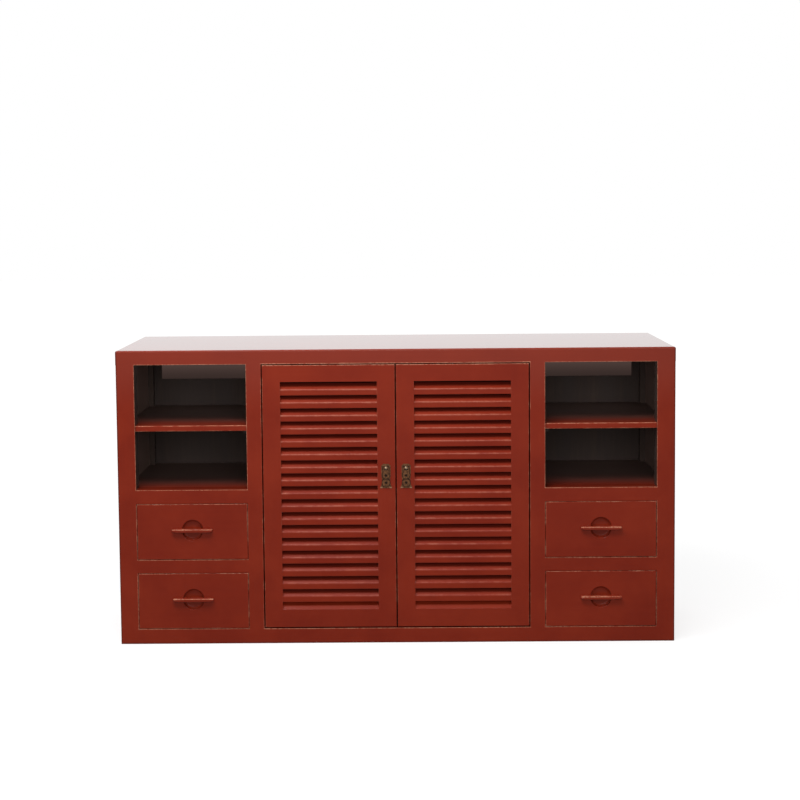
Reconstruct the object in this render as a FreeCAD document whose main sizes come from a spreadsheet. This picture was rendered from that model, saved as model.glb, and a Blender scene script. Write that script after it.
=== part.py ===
import FreeCAD, Part
import math
import os
from types import SimpleNamespace

import Sketcher

# A lacquered side cabinet with flush faces: a mitred top frame on four posts, a cupboard with two
# louvred doors on pivots in the middle, and at each side an open niche over two inset drawers.
# +X is to the viewer's right, +Y goes from the front to the back and +Z is up. The origin lies on the
# floor, in the middle of the whole piece with its drawer bars. All lengths are in millimetres.

# Driving dimensions
VALUES = {
    # carcase
    "overall_width": 1600,
    "case_depth": 450,
    "overall_height": 853,
    "post_width": 52,
    "post_depth": 45,
    "back_post_width": 34,
    "inner_post_width": 43,
    "door_opening_width": 769,
    "bottom_rail_height": 43.5,
    "side_rail_width": 40,
    "outer_arris": 2.5,
    # stub tenons that join the rails, the posts and the top frame
    "frame_tenon_length": 14,
    "frame_tenon_thickness": 12,
    "frame_tenon_setback": 13,
    "frame_tenon_shoulder": 8,
    # top frame and its floating panel
    "top_rail_height": 41,
    "top_rail_width": 75,
    "top_arris": 5,
    "top_panel_thickness": 18,
    "tongue_thickness": 8,
    "tongue_length": 10,
    "tongue_depth": 6,
    "panel_play": 1,
    "batten_width": 40,
    # side bays
    "drawer_opening_height": 164,
    "drawer_rail_height": 38.5,
    "niche_rail_height": 40,
    "niche_shelf_rise": 169,
    "shelf_setback": 8,
    "shelf_arris": 1.5,
    "cleat_size": 16,
    "cleat_inset": 15,
    # boards and panels
    "board_thickness": 16,
    "board_lap": 10,
    "partition_thickness": 18,
    "side_panel_thickness": 12,
    "side_panel_recess": 6,
    "back_panel_thickness": 10,
    "back_panel_recess": 8,
    "groove_depth": 8,
    "slot_height": 74,
    "slot_drop": 20,
    "slot_margin": 22,
    "centre_shelf_height": 420,
    "centre_shelf_setback": 60,
    # drawer runners, guides and stops
    "runner_width": 25,
    "bearer_height": 24,
    "guide_height": 20,
    "guide_clearance": 1,
    "stop_length": 12,
    "stop_gap": 0.3,
    # doors
    "door_gap": 3,
    "door_thickness": 22,
    "door_stile_width": 51.5,
    "door_top_rail_height": 48.8,
    "door_bottom_rail_height": 52.3,
    "door_arris": 1.5,
    "rail_tenon_length": 30,
    "rail_tenon_thickness": 8,
    "rail_tenon_shoulder": 10,
    # slats: each slants at 45 degrees and has upright front and back faces
    "slat_first_drop": 22.7,
    "slat_setback": 2,
    "slat_slope": 17,
    "slat_face": 19.8,
    "slat_top_arris": 6,
    "slat_low_arris": 2,
    "slat_tenon": 6,
    "slat_tenon_side": 8,
    # door pivots, their sockets and the catches
    "pivot_inset": 10,
    "pivot_setback": 7,
    "pivot_radius": 3,
    "pivot_embed": 20,
    "pivot_engagement": 7,
    "pivot_clearance": 0.05,
    "socket_radius": 5,
    "socket_depth": 8,
    "catch_offset": 6,
    "catch_length": 40,
    "catch_depth": 20,
    "catch_height": 14,
    "catch_gap": 0.3,
    # drawers
    "drawer_gap": 1.5,
    "drawer_front_thickness": 20,
    "drawer_arris": 1.5,
    "drawer_side_thickness": 12,
    "drawer_side_inset": 1,
    "drawer_side_height": 145,
    "drawer_back_clearance": 5,
    "drawer_lift": 0.3,
    "drawer_bottom_thickness": 6,
    "drawer_bottom_rise": 8,
    "drawer_groove_depth": 5,
    # round recess and wooden bar of a drawer front
    "pull_rise": 4.5,
    "recess_radius": 30,
    "recess_depth": 12,
    "recess_cove": 8,
    "recess_rim": 1.5,
    "bar_length": 116,
    "bar_taper_length": 14,
    "bar_height": 11,
    "bar_end_height": 7,
    "bar_projection": 12,
    "bar_arris": 3,
    # brass pull of a door: back plate, ball-headed pin and swinging drop
    "plate_offset": 29,
    "plate_axis_height": 511,
    "plate_thickness": 1.2,
    "plate_half_width": 13,
    "plate_top_reach": 11,
    "plate_shoulder": 4,
    "plate_straight": 24,
    "plate_waist_half": 11.5,
    "plate_waist_reach": 34,
    "plate_belly_reach": 48,
    "plate_foot_half": 16.5,
    "plate_foot_reach": 56,
    "plate_reach": 59,
    "plate_curve_radius": 16,
    "ball_radius": 4.6,
    "ball_seat": 2.6,
    "shank_radius": 2,
    "drop_bar_radius": 1.4,
    "drop_bar_clearance": 0.1,
    "drop_thickness": 2.4,
    "drop_cheek_half": 8,
    "drop_window_half": 5.2,
    "drop_window_reach": 6.4,
    "upper_lobe_radius": 10,
    "upper_lobe_reach": 22,
    "lower_lobe_radius": 11,
    "lower_lobe_reach": 43,
    "drop_neck_half": 4.5,
    "drop_hole_radius": 2.6,
    # how far a cutting shape runs past what it cuts
    "overrun": 1,
}

# How many of each repeated piece
SLAT_COUNT = 17
DRAWER_LEVELS = ("lower", "upper")

ROOT_OF_TWO = math.sqrt(2)
SLAT_BEND_DEGREES = 45
TAN_OF_SLAT_BEND_HALVED = math.tan(math.radians(SLAT_BEND_DEGREES / 2))

# How close two places are that count as the same, in millimetres
EDGE_TOLERANCE = 1e-4


class Length:
    """A length as a number and as an expression of the document's sheet."""

    def __init__(self, text, value):
        self.text = text
        self.value = value

    def __add__(self, other):
        other = length(other)
        return Length(f"({self.text} + {other.text})", self.value + other.value)

    def __sub__(self, other):
        other = length(other)
        return Length(f"({self.text} - {other.text})", self.value - other.value)

    def __mul__(self, share):
        return Length(f"({self.text} * {share})", self.value * share)

    def __truediv__(self, share):
        return Length(f"({self.text} / {share})", self.value / share)

    def __neg__(self):
        return Length(f"(-{self.text})", -self.value)


def length(item):
    """Takes a plain number, such as zero, for a length."""
    if isinstance(item, Length):
        return item
    return Length(str(item), item)


def chord_height(radius, half_width):
    """How far from a circle's centre a chord of this half width lies."""
    text = f"sqrt({radius.text} * {radius.text} - {half_width.text} * {half_width.text})"
    return Length(text, math.sqrt(radius.value ** 2 - half_width.value ** 2))


def make_sheet(document):
    sheet = document.addObject("Spreadsheet::Sheet", "Sizes")
    for row, (alias, value) in enumerate(VALUES.items(), 1):
        sheet.set(f"A{row}", alias)
        sheet.set(f"B{row}", str(value))
        sheet.setAlias(f"B{row}", alias)
    document.recompute()
    return SimpleNamespace(**{alias: Length(f"Sizes.{alias}", value) for alias, value in VALUES.items()})


def bind(item, place, size):
    item.setExpression(place, length(size).text)


def move(item, x=0, y=0, z=0):
    """Puts an object at a point given in lengths."""
    for axis, size in (("x", x), ("y", y), ("z", z)):
        bind(item, f"Placement.Base.{axis}", size)


# Solid features of a body
def new_body(label):
    body = doc.addObject("PartDesign::Body", label)
    body.Label = label
    return body


def box_feature(body, kind, x, y, z):
    feature = body.newObject(f"PartDesign::{kind}Box", f"{body.Name}_{kind}Box")
    bind(feature, "Length", x[1] - x[0])
    bind(feature, "Width", y[1] - y[0])
    bind(feature, "Height", z[1] - z[0])
    move(feature, x[0], y[0], z[0])
    doc.recompute()
    return feature


def block(label, x, y, z):
    """A body that starts as one box between the given lengths along each axis."""
    body = new_body(label)
    box_feature(body, "Additive", x, y, z)
    return body


def cut_box(body, x, y, z):
    return box_feature(body, "Subtractive", x, y, z)


def add_box(body, x, y, z):
    return box_feature(body, "Additive", x, y, z)


def cylinder_feature(body, kind, radius, start, reach, turn):
    """A round feature from a point, along +Z turned by the given rotation."""
    feature = body.newObject(f"PartDesign::{kind}Cylinder", f"{body.Name}_{kind}Cylinder")
    bind(feature, "Radius", radius)
    bind(feature, "Height", reach)
    feature.Placement.Rotation = turn
    move(feature, *start)
    doc.recompute()
    return feature


UPRIGHT = FreeCAD.Rotation()
ALONG_X = FreeCAD.Rotation(FreeCAD.Vector(0, 1, 0), 90)
ALONG_Y = FreeCAD.Rotation(FreeCAD.Vector(1, 0, 0), -90)


def round_edges(body, radius, wanted):
    """Rounds the edges of which every sampled point passes the test."""
    edges = []
    base = body.Tip
    for number, edge in enumerate(base.Shape.Edges, 1):
        samples = [vertex.Point for vertex in edge.Vertexes]
        samples.append(edge.valueAt((edge.FirstParameter + edge.LastParameter) / 2))
        if all(wanted(point) for point in samples):
            edges.append(f"Edge{number}")
    if not edges:
        raise RuntimeError(f"{body.Label}: no edge to round")
    fillet = body.newObject("PartDesign::Fillet", f"{body.Name}_Arris")
    fillet.Base = (base, edges)
    bind(fillet, "Radius", radius)
    doc.recompute()
    return fillet


def near(number, size):
    return abs(number - length(size).value) < EDGE_TOLERANCE


def sketch_on(body, role, level=0):
    """A sketch on one of the body's own origin planes, raised along the plane's normal."""
    plane = next(item for item in body.Origin.OriginFeatures if item.Role == role)
    sketch = body.newObject("Sketcher::SketchObject", f"{body.Name}_Sketch")
    sketch.AttachmentSupport = [(plane, "")]
    sketch.MapMode = "FlatFace"
    bind(sketch, "AttachmentOffset.Base.z", level)
    return sketch


def draw_outline(sketch, corners):
    """Draws a closed outline. A corner is (across, up), and (across, up, radius) where an arc leaves it:
    a positive radius bulges outwards of an outline that runs anticlockwise, a negative one inwards."""
    count = len(corners)
    starts = []
    for index, corner in enumerate(corners):
        following = corners[(index + 1) % count]
        start = FreeCAD.Vector(length(corner[0]).value, length(corner[1]).value)
        end = FreeCAD.Vector(length(following[0]).value, length(following[1]).value)
        if len(corner) == 2:
            starts.append((sketch.addGeometry(Part.LineSegment(start, end)), 1, 2))
            continue
        radius = abs(corner[2].value)
        outward = corner[2].value > 0
        chord = end - start
        rise = math.sqrt(max(radius ** 2 - (chord.Length / 2) ** 2, 0))
        left = FreeCAD.Vector(-chord.y, chord.x).normalize()
        centre = start + chord / 2 + left * (rise if outward else -rise)
        circle = Part.Circle(centre, FreeCAD.Vector(0, 0, 1), radius)
        first, second = (start, end) if outward else (end, start)
        begin = math.atan2(first.y - centre.y, first.x - centre.x)
        finish = math.atan2(second.y - centre.y, second.x - centre.x)
        if finish < begin:
            finish += 2 * math.pi
        arc = sketch.addGeometry(Part.ArcOfCircle(circle, begin, finish))
        starts.append((arc, 1, 2) if outward else (arc, 2, 1))
    for index, (edge, _, end_point) in enumerate(starts):
        next_edge, next_start, _ = starts[(index + 1) % count]
        sketch.addConstraint(Sketcher.Constraint("Coincident", edge, end_point, next_edge, next_start))
    for index, corner in enumerate(corners):
        edge, start_point, _ = starts[index]
        for kind, size in (("DistanceX", corner[0]), ("DistanceY", corner[1])):
            size = length(size)
            number = sketch.addConstraint(Sketcher.Constraint(kind, -1, 1, edge, start_point, size.value))
            bind(sketch, f"Constraints[{number}]", size)
        if len(corner) == 3:
            radius = corner[2] if corner[2].value > 0 else -corner[2]
            number = sketch.addConstraint(Sketcher.Constraint("Radius", edge, radius.value))
            bind(sketch, f"Constraints[{number}]", radius)


def draw_circle(sketch, across, up, radius):
    across = length(across)
    up = length(up)
    centre = FreeCAD.Vector(across.value, up.value)
    edge = sketch.addGeometry(Part.Circle(centre, FreeCAD.Vector(0, 0, 1), radius.value))
    for kind, size in (("DistanceX", across), ("DistanceY", up)):
        number = sketch.addConstraint(Sketcher.Constraint(kind, -1, 1, edge, 3, size.value))
        bind(sketch, f"Constraints[{number}]", size)
    number = sketch.addConstraint(Sketcher.Constraint("Radius", edge, radius.value))
    bind(sketch, f"Constraints[{number}]", radius)


def pad(body, sketch, reach):
    feature = body.newObject("PartDesign::Pad", f"{body.Name}_Pad")
    feature.Profile = sketch
    bind(feature, "Length", reach)
    sketch.Visibility = False
    doc.recompute()
    return feature


def plan_board(label, corners, z):
    """A board of one thickness whose outline is drawn on the floor plane."""
    body = new_body(label)
    sketch = sketch_on(body, "XY_Plane", z[0])
    draw_outline(sketch, corners)
    pad(body, sketch, z[1] - z[0])
    return body


# Groups and mirror images
def mirrored(item, label):
    """The same piece on the right-hand side."""
    mirror = doc.addObject("Part::Mirroring", label)
    mirror.Label = label
    mirror.Source = item
    mirror.Normal = FreeCAD.Vector(1, 0, 0)
    return mirror


def group(label, items):
    compound = doc.addObject("Part::Compound", label)
    compound.Label = label
    compound.Links = items
    return compound


def both_sides(label, items):
    """One node that holds the given left-hand pieces and their mirror images."""
    images = [mirrored(item, f"{item.Label}_right") for item in items]
    return group(label, items + images)


doc = FreeCAD.newDocument("side_cabinet")
size = make_sheet(doc)
nodes = []

# Planes and levels that several pieces share
half_width = size.overall_width / 2
face = (size.bar_projection - size.case_depth) / 2
back = face + size.case_depth
post_back = face + size.post_depth
back_post_front = back - size.post_depth
under_top = size.overall_height - size.top_rail_height
outer_post_edge = half_width - size.post_width
back_post_edge = half_width - size.back_post_width
door_half = size.door_opening_width / 2
bay_edge = door_half + size.inner_post_width
panel_outside = half_width - size.side_panel_recess
panel_inside = panel_outside - size.side_panel_thickness
back_panel_back = back - size.back_panel_recess
back_panel_front = back_panel_back - size.back_panel_thickness
board_bottom = size.bottom_rail_height - size.board_thickness
second_drawer_level = size.bottom_rail_height + size.drawer_opening_height + size.drawer_rail_height
drawer_levels = {"lower": size.bottom_rail_height, "upper": second_drawer_level}
niche_rail_bottom = second_drawer_level + size.drawer_opening_height
niche_level = niche_rail_bottom + size.niche_rail_height

# Stub tenons of the left half: each lies between these places in its piece and in its mortise
front_tenon_y = (
    face + size.frame_tenon_setback,
    face + size.frame_tenon_setback + size.frame_tenon_thickness,
)
back_tenon_y = (
    back_post_front + size.frame_tenon_setback,
    back_post_front + size.frame_tenon_setback + size.frame_tenon_thickness,
)
front_corner_tenon_x = (size.frame_tenon_shoulder * 2 - half_width, -outer_post_edge - size.frame_tenon_shoulder)
back_corner_tenon_x = (size.frame_tenon_shoulder - half_width, -back_post_edge - size.frame_tenon_shoulder)
inner_tenon_x = (size.frame_tenon_shoulder - bay_edge, -door_half - size.frame_tenon_shoulder)
side_tenon_x = (-panel_outside, -panel_inside)
rail_tenon_z = (size.frame_tenon_shoulder, board_bottom)
top_tenon_z = (under_top, under_top + size.frame_tenon_length)
foot_tenon_z = (size.bottom_rail_height - size.frame_tenon_length, size.bottom_rail_height)


def opposite(span):
    """The same span along X on the right-hand side."""
    return -span[1], -span[0]


def before(shoulder):
    """A tenon that reaches towards -X or -Y from its shoulder."""
    return shoulder - size.frame_tenon_length, shoulder


def beyond(shoulder):
    """A tenon that reaches towards +X or +Y from its shoulder."""
    return shoulder, shoulder + size.frame_tenon_length


def bay_rail_tenon(z):
    """Height of the tenons of a rail in the side bay."""
    return z[0] + size.frame_tenon_shoulder, z[1] - size.frame_tenon_shoulder


drawer_rail_z = (second_drawer_level - size.drawer_rail_height, second_drawer_level)
niche_rail_z = (niche_rail_bottom, niche_level)


def make_top():
    width = size.top_rail_width
    inner = half_width - width
    reach = size.tongue_length + size.panel_play
    underside = (under_top, under_top + size.groove_depth)
    tongue_top = size.overall_height - size.tongue_depth
    tongue = (tongue_top - size.tongue_thickness, tongue_top)
    z = (under_top, size.overall_height)

    def top_edge(point, axis, place):
        return near(point.z, size.overall_height) and near(point[axis], place)

    corners = [(-half_width, face), (half_width, face), (inner, face + width), (-inner, face + width)]
    front = plan_board("top_front_rail", corners, z)
    round_edges(front, size.top_arris, lambda point: top_edge(point, 1, face))
    cut_box(front, (-inner - reach, inner + reach), (face + width - reach, face + width), tongue)
    axis_y = face + size.pivot_setback
    for side in (-1, 1):
        place = ((door_half - size.door_gap - size.pivot_inset) * side, axis_y, under_top)
        cylinder_feature(front, "Subtractive", size.socket_radius, place, size.socket_depth, UPRIGHT)
    for x in (front_corner_tenon_x, inner_tenon_x):
        cut_box(front, x, front_tenon_y, top_tenon_z)
        cut_box(front, opposite(x), front_tenon_y, top_tenon_z)

    corners = [(-inner, back - width), (inner, back - width), (half_width, back), (-half_width, back)]
    rear = plan_board("top_back_rail", corners, z)
    round_edges(rear, size.top_arris, lambda point: top_edge(point, 1, back))
    cut_box(rear, (-inner - reach, inner + reach), (back - width, back - width + reach), tongue)
    groove_x = (-back_post_edge - size.groove_depth, back_post_edge + size.groove_depth)
    cut_box(rear, groove_x, (back_panel_front, back_panel_back), underside)
    for x in (back_corner_tenon_x, inner_tenon_x):
        cut_box(rear, x, back_tenon_y, top_tenon_z)
        cut_box(rear, opposite(x), back_tenon_y, top_tenon_z)

    corners = [(-half_width, face), (-inner, face + width), (-inner, back - width), (-half_width, back)]
    side = plan_board("top_side_rail", corners, z)
    round_edges(side, size.top_arris, lambda point: top_edge(point, 0, -half_width))
    cut_box(side, (-inner - reach, -inner), (face + width - reach, back - width + reach), tongue)
    groove_y = (post_back - size.groove_depth, back_post_front + size.groove_depth)
    cut_box(side, (-panel_outside, -panel_inside), groove_y, underside)
    cut_box(side, front_corner_tenon_x, front_tenon_y, top_tenon_z)
    cut_box(side, back_corner_tenon_x, back_tenon_y, top_tenon_z)

    panel_bottom = size.overall_height - size.top_panel_thickness
    board = (panel_bottom, size.overall_height)
    y = (face + width, back - width)
    panel = block("top_panel", (-inner, inner), y, board)
    grow = size.tongue_length
    add_box(panel, (-inner - grow, inner + grow), (y[0] - grow, y[1] + grow), tongue)

    battens = []
    partition_middle = bay_edge - size.partition_thickness / 2
    for number, middle in enumerate((-partition_middle, length(0), partition_middle)):
        x = (middle - size.batten_width / 2, middle + size.batten_width / 2)
        battens.append(block(f"top_batten_{number}", x, y, (under_top, panel_bottom)))
    nodes.extend([front, rear, both_sides("top_side_rails", [side]), panel, group("top_battens", battens)])


def make_posts():
    upright = (length(0), under_top)
    standing = (size.bottom_rail_height, under_top)
    groove = size.groove_depth

    x = (-half_width, -outer_post_edge)
    front_post = block("front_post", x, (face, post_back), upright)
    round_edges(front_post, size.outer_arris,
                lambda point: near(point.x, -half_width) and near(point.y, face))
    cut_box(front_post, (-panel_outside, -panel_inside), (post_back - groove, post_back), upright)
    add_box(front_post, front_corner_tenon_x, front_tenon_y, top_tenon_z)
    cut_box(front_post, side_tenon_x, before(post_back), rail_tenon_z)
    for z in (rail_tenon_z, bay_rail_tenon(drawer_rail_z), bay_rail_tenon(niche_rail_z)):
        cut_box(front_post, before(-outer_post_edge), front_tenon_y, z)

    x = (-half_width, -back_post_edge)
    corner_post = block("back_corner_post", x, (back_post_front, back), upright)
    round_edges(corner_post, size.outer_arris,
                lambda point: near(point.x, -half_width) and near(point.y, back))
    cut_box(corner_post, (-panel_outside, -panel_inside), (back_post_front, back_post_front + groove), upright)
    cut_box(corner_post, (-back_post_edge - groove, -back_post_edge), (back_panel_front, back_panel_back), upright)
    add_box(corner_post, back_corner_tenon_x, back_tenon_y, top_tenon_z)
    cut_box(corner_post, side_tenon_x, beyond(back_post_front), rail_tenon_z)
    cut_box(corner_post, before(-back_post_edge), back_tenon_y, rail_tenon_z)

    x = (-bay_edge, -door_half)
    inner_post = block("front_inner_post", x, (face, post_back), standing)
    back_inner_post = block("back_inner_post", x, (back_post_front, back), standing)
    cut_box(back_inner_post, (x[0], x[0] + groove), (back_panel_front, back_panel_back), standing)
    cut_box(back_inner_post, (x[1] - groove, x[1]), (back_panel_front, back_panel_back), standing)
    for z in (top_tenon_z, foot_tenon_z):
        add_box(inner_post, inner_tenon_x, front_tenon_y, z)
        add_box(back_inner_post, inner_tenon_x, back_tenon_y, z)
    for z in (bay_rail_tenon(drawer_rail_z), bay_rail_tenon(niche_rail_z)):
        cut_box(inner_post, beyond(-bay_edge), front_tenon_y, z)

    nodes.append(both_sides("front_posts", [front_post]))
    nodes.append(both_sides("front_inner_posts", [inner_post]))
    nodes.append(both_sides("back_posts", [corner_post, back_inner_post]))


def make_rails():
    z = (length(0), size.bottom_rail_height)
    lap = (board_bottom, size.bottom_rail_height)
    groove = (size.bottom_rail_height - size.groove_depth, size.bottom_rail_height)

    x = (-outer_post_edge, outer_post_edge)
    front = block("front_bottom_rail", x, (face, post_back), z)
    cut_box(front, x, (post_back - size.board_lap, post_back), lap)
    for side in (-1, 1):
        place_x = (door_half - size.door_gap - size.pivot_inset) * side
        place = (place_x, face + size.pivot_setback, size.bottom_rail_height - size.socket_depth)
        cylinder_feature(front, "Subtractive", size.socket_radius, place, size.socket_depth, UPRIGHT)
    add_box(front, before(x[0]), front_tenon_y, rail_tenon_z)
    add_box(front, beyond(x[1]), front_tenon_y, rail_tenon_z)
    cut_box(front, inner_tenon_x, front_tenon_y, foot_tenon_z)
    cut_box(front, opposite(inner_tenon_x), front_tenon_y, foot_tenon_z)

    x = (-back_post_edge, back_post_edge)
    rear = block("back_bottom_rail", x, (back_post_front, back), z)
    cut_box(rear, x, (back_post_front, back_post_front + size.board_lap), lap)
    cut_box(rear, x, (back_panel_front, back_panel_back), groove)
    add_box(rear, before(x[0]), back_tenon_y, rail_tenon_z)
    add_box(rear, beyond(x[1]), back_tenon_y, rail_tenon_z)
    cut_box(rear, inner_tenon_x, back_tenon_y, foot_tenon_z)
    cut_box(rear, opposite(inner_tenon_x), back_tenon_y, foot_tenon_z)

    x = (-half_width, size.side_rail_width - half_width)
    side = block("side_bottom_rail", x, (post_back, back_post_front), z)
    cut_box(side, (x[1] - size.board_lap, x[1]), (post_back, back_post_front), lap)
    cut_box(side, (-panel_outside, -panel_inside), (post_back, back_post_front), groove)
    add_box(side, side_tenon_x, before(post_back), rail_tenon_z)
    add_box(side, side_tenon_x, beyond(back_post_front), rail_tenon_z)

    x = (-outer_post_edge, -bay_edge)
    drawer_rail = block("drawer_rail", x, (face, post_back), drawer_rail_z)
    niche_rail = block("niche_rail", x, (face, post_back), niche_rail_z)
    for rail, z in ((drawer_rail, drawer_rail_z), (niche_rail, niche_rail_z)):
        add_box(rail, before(x[0]), front_tenon_y, bay_rail_tenon(z))
        add_box(rail, beyond(x[1]), front_tenon_y, bay_rail_tenon(z))

    nodes.extend([front, rear, both_sides("side_bottom_rails", [side])])
    nodes.append(both_sides("bay_rails", [drawer_rail, niche_rail]))


def make_panels():
    play = size.panel_play
    sunk = size.groove_depth - play
    z = (size.bottom_rail_height - size.groove_depth, under_top + sunk)

    y = (post_back - sunk, back_post_front + sunk)
    side_panel = block("side_panel", (-panel_outside, -panel_inside), y, z)

    x = (-bay_edge, size.partition_thickness - bay_edge)
    partition = block("partition", x, (post_back, back_post_front), (size.bottom_rail_height, under_top))

    y = (back_panel_front, back_panel_back)
    x = (-back_post_edge - sunk, sunk - bay_edge)
    bay_back = block("bay_back_panel", x, y, z)
    slot_top = under_top - size.slot_drop
    slot_x = (size.slot_margin - back_post_edge, -bay_edge - size.slot_margin)
    cut_box(bay_back, slot_x, (y[0] - size.overrun, y[1] + size.overrun), (slot_top - size.slot_height, slot_top))

    reach = door_half + sunk
    centre_back = block("centre_back_panel", (-reach, reach), y, z)

    nodes.append(both_sides("side_panels", [side_panel]))
    nodes.append(both_sides("partitions", [partition]))
    nodes.append(both_sides("bay_back_panels", [bay_back]))
    nodes.append(centre_back)


def make_boards():
    board_edge = half_width - size.side_rail_width + size.board_lap
    front_line = post_back - size.board_lap
    rear_line = back_post_front + size.board_lap
    corners = [
        (-outer_post_edge, front_line), (outer_post_edge, front_line), (outer_post_edge, post_back),
        (board_edge, post_back), (board_edge, back_post_front), (back_post_edge, back_post_front),
        (back_post_edge, rear_line), (-back_post_edge, rear_line), (-back_post_edge, back_post_front),
        (-board_edge, back_post_front), (-board_edge, post_back), (-outer_post_edge, post_back),
    ]
    bottom = plan_board("bottom_board", corners, (board_bottom, size.bottom_rail_height))

    round_the_back_post = [
        (-bay_edge, back_panel_front), (-back_post_edge, back_panel_front),
        (-back_post_edge, back_post_front), (-panel_inside, back_post_front), (-panel_inside, post_back),
    ]
    z = (niche_level - size.board_thickness, niche_level)
    floor = plan_board("niche_floor", round_the_back_post + [(-bay_edge, post_back)], z)

    shelf_front = face + size.shelf_setback
    tongue = [(-outer_post_edge, post_back), (-outer_post_edge, shelf_front), (-bay_edge, shelf_front)]
    shelf_bottom = niche_level + size.niche_shelf_rise
    z = (shelf_bottom, shelf_bottom + size.board_thickness)
    shelf = plan_board("niche_shelf", round_the_back_post + tongue, z)
    round_edges(shelf, size.shelf_arris,
                lambda point: near(point.y, shelf_front) and (near(point.z, z[0]) or near(point.z, z[1])))

    shelf_reach = bay_edge - size.partition_thickness
    y = (face + size.centre_shelf_setback, back_post_front)
    z = (size.centre_shelf_height, size.centre_shelf_height + size.board_thickness)
    centre_shelf = block("centre_shelf", (-shelf_reach, shelf_reach), y, z)

    cleat_y = (post_back + size.cleat_inset, back_post_front)
    wide = size.cleat_size
    low = (shelf_bottom - wide, shelf_bottom)
    centre_low = (size.centre_shelf_height - wide, size.centre_shelf_height)
    cleats = [
        block("niche_inner_cleat", (-bay_edge - wide, -bay_edge), cleat_y, low),
        block("niche_outer_cleat", (-panel_inside, wide - panel_inside), cleat_y, low),
        block("centre_cleat", (-shelf_reach, wide - shelf_reach), cleat_y, centre_low),
    ]

    nodes.extend([bottom, both_sides("niche_floors", [floor]), both_sides("niche_shelves", [shelf])])
    nodes.extend([centre_shelf, both_sides("shelf_cleats", cleats)])


drawer_outer = outer_post_edge - size.drawer_gap
drawer_inner = bay_edge + size.drawer_gap
drawer_side_outer = drawer_outer - size.drawer_side_inset
drawer_side_inner = drawer_inner + size.drawer_side_inset
drawer_box_front = face + size.drawer_front_thickness
drawer_box_back = back_post_front - size.drawer_back_clearance


def make_runners():
    inner_x = (-bay_edge - size.runner_width, -bay_edge)
    outer_x = (-panel_inside, size.runner_width - outer_post_edge)
    guide_x = (-panel_inside, -drawer_side_outer - size.guide_clearance)
    y = (post_back, back_post_front)
    runner_z = (second_drawer_level - size.drawer_rail_height, second_drawer_level)
    bearer_z = (niche_rail_bottom, niche_level - size.board_thickness)
    pieces = [
        block("inner_runner", inner_x, (post_back, back_panel_front), runner_z),
        block("outer_runner", outer_x, y, runner_z),
        block("inner_bearer", inner_x, y, bearer_z),
        block("outer_bearer", outer_x, y, bearer_z),
    ]
    stop_start = drawer_box_back + size.stop_gap
    for name, level in drawer_levels.items():
        guide_z = (level, level + size.guide_height)
        pieces.append(block(f"{name}_guide", guide_x, y, guide_z))
        stop_y = (stop_start, stop_start + size.stop_length)
        pieces.append(block(f"{name}_stop", inner_x, stop_y, guide_z))
    nodes.append(both_sides("drawer_runners", pieces))


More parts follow.
